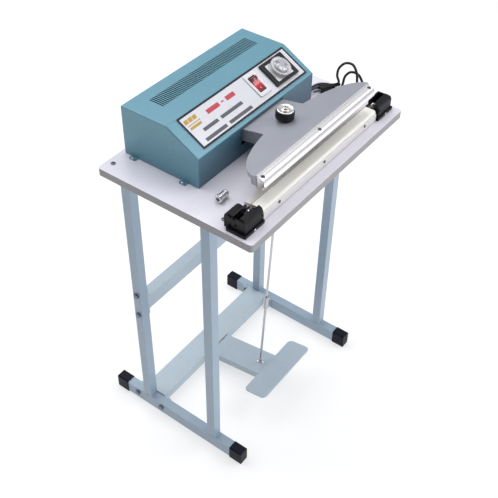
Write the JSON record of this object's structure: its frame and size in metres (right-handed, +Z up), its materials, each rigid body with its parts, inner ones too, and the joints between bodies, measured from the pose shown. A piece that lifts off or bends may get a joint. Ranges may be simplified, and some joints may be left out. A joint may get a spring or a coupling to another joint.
{
  "type": "impulse heat sealer",
  "caption": "foot-operated impulse heat sealer on a tube stand: hinged press arm over a heated jaw, control box with timer dial and rocker switch, pedal pulling the arm down by a rod",
  "frame": {"origin": "on the floor under the centre of the whole machine's bounding box", "axes": "+Z up, +X to the operator's right along the sealing jaw, +Y from the operator towards the back of the machine"},
  "size_m": [0.48, 0.386, 0.7733],
  "materials": {
    "stand_paint": "satin powder coat, pale grey-blue",
    "foot_cap_plastic": "fine moulded grain",
    "zinc_fastener": "bright zinc plate",
    "board_laminate": "satin white laminate on board, grey-beige edge band",
    "housing_paint": "blue-teal hammered paint",
    "panel_print": "white printed plate, satin",
    "black_plastic": "satin moulded",
    "switch_frame": "pale moulded bezel",
    "rocker_red": "glossy",
    "dial_knob": "silver-grey moulded, glossy",
    "cast_arm": "satin silver paint over casting",
    "bright_bar": "bright drawn and anodised",
    "ptfe_sheet": "cream coated glass cloth, waxy sheen",
    "silicone": "matt cream silicone",
    "fibre_board": "phenolic fibre, matt",
    "nichrome": "rolled ribbon",
    "chrome": "polished",
    "brass": "machined",
    "transformer_steel": "varnished laminations",
    "coil_copper": "amber winding tape over enamelled wire",
    "cord_black": "smooth flexible sheath"
  },
  "bodies": {
    "base": {"side_frame_left": "stand_paint", "side_frame_right": "stand_paint", "foot_cap_left_rear": "foot_cap_plastic", "foot_cap_left_front": "foot_cap_plastic", "foot_cap_right_rear": "foot_cap_plastic", "foot_cap_right_front": "foot_cap_plastic", "upper_crossbar": "stand_paint", "lower_cross_plate": "stand_paint", "crossbar_bolts_left": "zinc_fastener", "crossbar_bolts_right": "zinc_fastener", "cross_plate_bolts_left": "zinc_fastener", "cross_plate_bolts_right": "zinc_fastener", "pedal_hinge_pin": "zinc_fastener", "table_board": "board_laminate", "table_screw_left_front": "zinc_fastener", "table_screw_left_rear": "zinc_fastener", "table_screw_right_front": "zinc_fastener", "table_screw_right_rear": "zinc_fastener", "base_pan": "zinc_fastener", "arm_hinge_pin": "zinc_fastener", "housing_cover": "housing_paint", "control_panel": "panel_print", "switch_body": "switch_frame", "timer_body": "black_plastic", "transformer_core": "transformer_steel", "transformer_coil": "coil_copper", "micro_switch": "black_plastic", "jaw_base": "bright_bar", "insulating_strip": "fibre_board", "heating_strip": "nichrome", "ptfe_cloth": "ptfe_sheet", "cloth_clamp": "bright_bar", "clamp_screw_left": "zinc_fastener", "clamp_screw_centre": "zinc_fastener", "clamp_screw_right": "zinc_fastener", "end_block_left": "black_plastic", "end_block_right": "black_plastic", "return_spring": "zinc_fastener", "cord_grommet": "black_plastic", "power_cord": "cord_black", "spare_sleeve_nut": "chrome"},
    "arm": {"press_arm": "cast_arm", "press_bar": "bright_bar", "silicone_strip": "silicone", "bar_screw_left": "zinc_fastener", "bar_screw_centre": "zinc_fastener", "bar_screw_right": "zinc_fastener"},
    "pedal": {"pedal_lever": "stand_paint", "pedal_plate": "stand_paint"},
    "pull_rod": {"rod_upper": "zinc_fastener", "rod_coupler": "zinc_fastener", "rod_lower": "zinc_fastener", "rod_nut": "zinc_fastener"},
    "knob": {"pressure_knob": "black_plastic", "knob_cap": "chrome", "knob_nut": "brass"},
    "rocker": {"switch_rocker": "rocker_red"},
    "timer_dial": {"timer_knob": "dial_knob"},
    "tensioner_left": {"strip_tensioner_left": "brass"},
    "tensioner_right": {"strip_tensioner_right": "brass"}
  },
  "joints": [
    {"name": "arm_hinge", "type": "hinge", "parent": "base", "child": "arm", "pos_m": [0, 0.002, 0.7045], "axis": [1, 0, 0], "range_deg": [0, 9.4], "stiffness_Nm_per_rad": 8, "springref_deg": -20.05, "deforming": ["return_spring"]},
    {"name": "pedal_hinge", "type": "hinge", "parent": "base", "child": "pedal", "pos_m": [0, 0.063, 0.028], "axis": [1, 0, 0], "range_deg": [0, 7.3]},
    {"name": "rod_slide", "type": "slide", "parent": "base", "child": "pull_rod", "axis": [0, 0.0486, -0.9988], "range_m": [0, 0.0149]},
    {"name": "knob_spin", "type": "hinge", "parent": "pull_rod", "child": "knob", "pos_m": [0, -0.086, 0.755], "axis": [0, -0.0486, 0.9988], "continuous": true},
    {"name": "rocker_tilt", "type": "hinge", "parent": "base", "child": "rocker", "pos_m": [0.035, 0.00179, 0.75075], "axis": [1, 0, 0], "range_deg": [-16, 0]},
    {"name": "timer_turn", "type": "hinge", "parent": "base", "child": "timer_dial", "pos_m": [0.0992, -0.00093, 0.75152], "axis": [0, -0.4866, 0.8736], "range_deg": [-270, 0]},
    {"name": "tensioner_left_slide", "type": "slide", "parent": "base", "child": "tensioner_left", "axis": [-1, 0, 0], "range_m": [0, 0.003]},
    {"name": "tensioner_right_slide", "type": "slide", "parent": "base", "child": "tensioner_right", "axis": [1, 0, 0], "range_m": [0, 0.003]}
  ],
  "couplings": [
    {"joint": "pedal_hinge", "follows": "arm_hinge", "ratio": 0.7619},
    {"joint": "rod_slide", "follows": "arm_hinge", "m_per_rad": 0.0895}
  ]
}
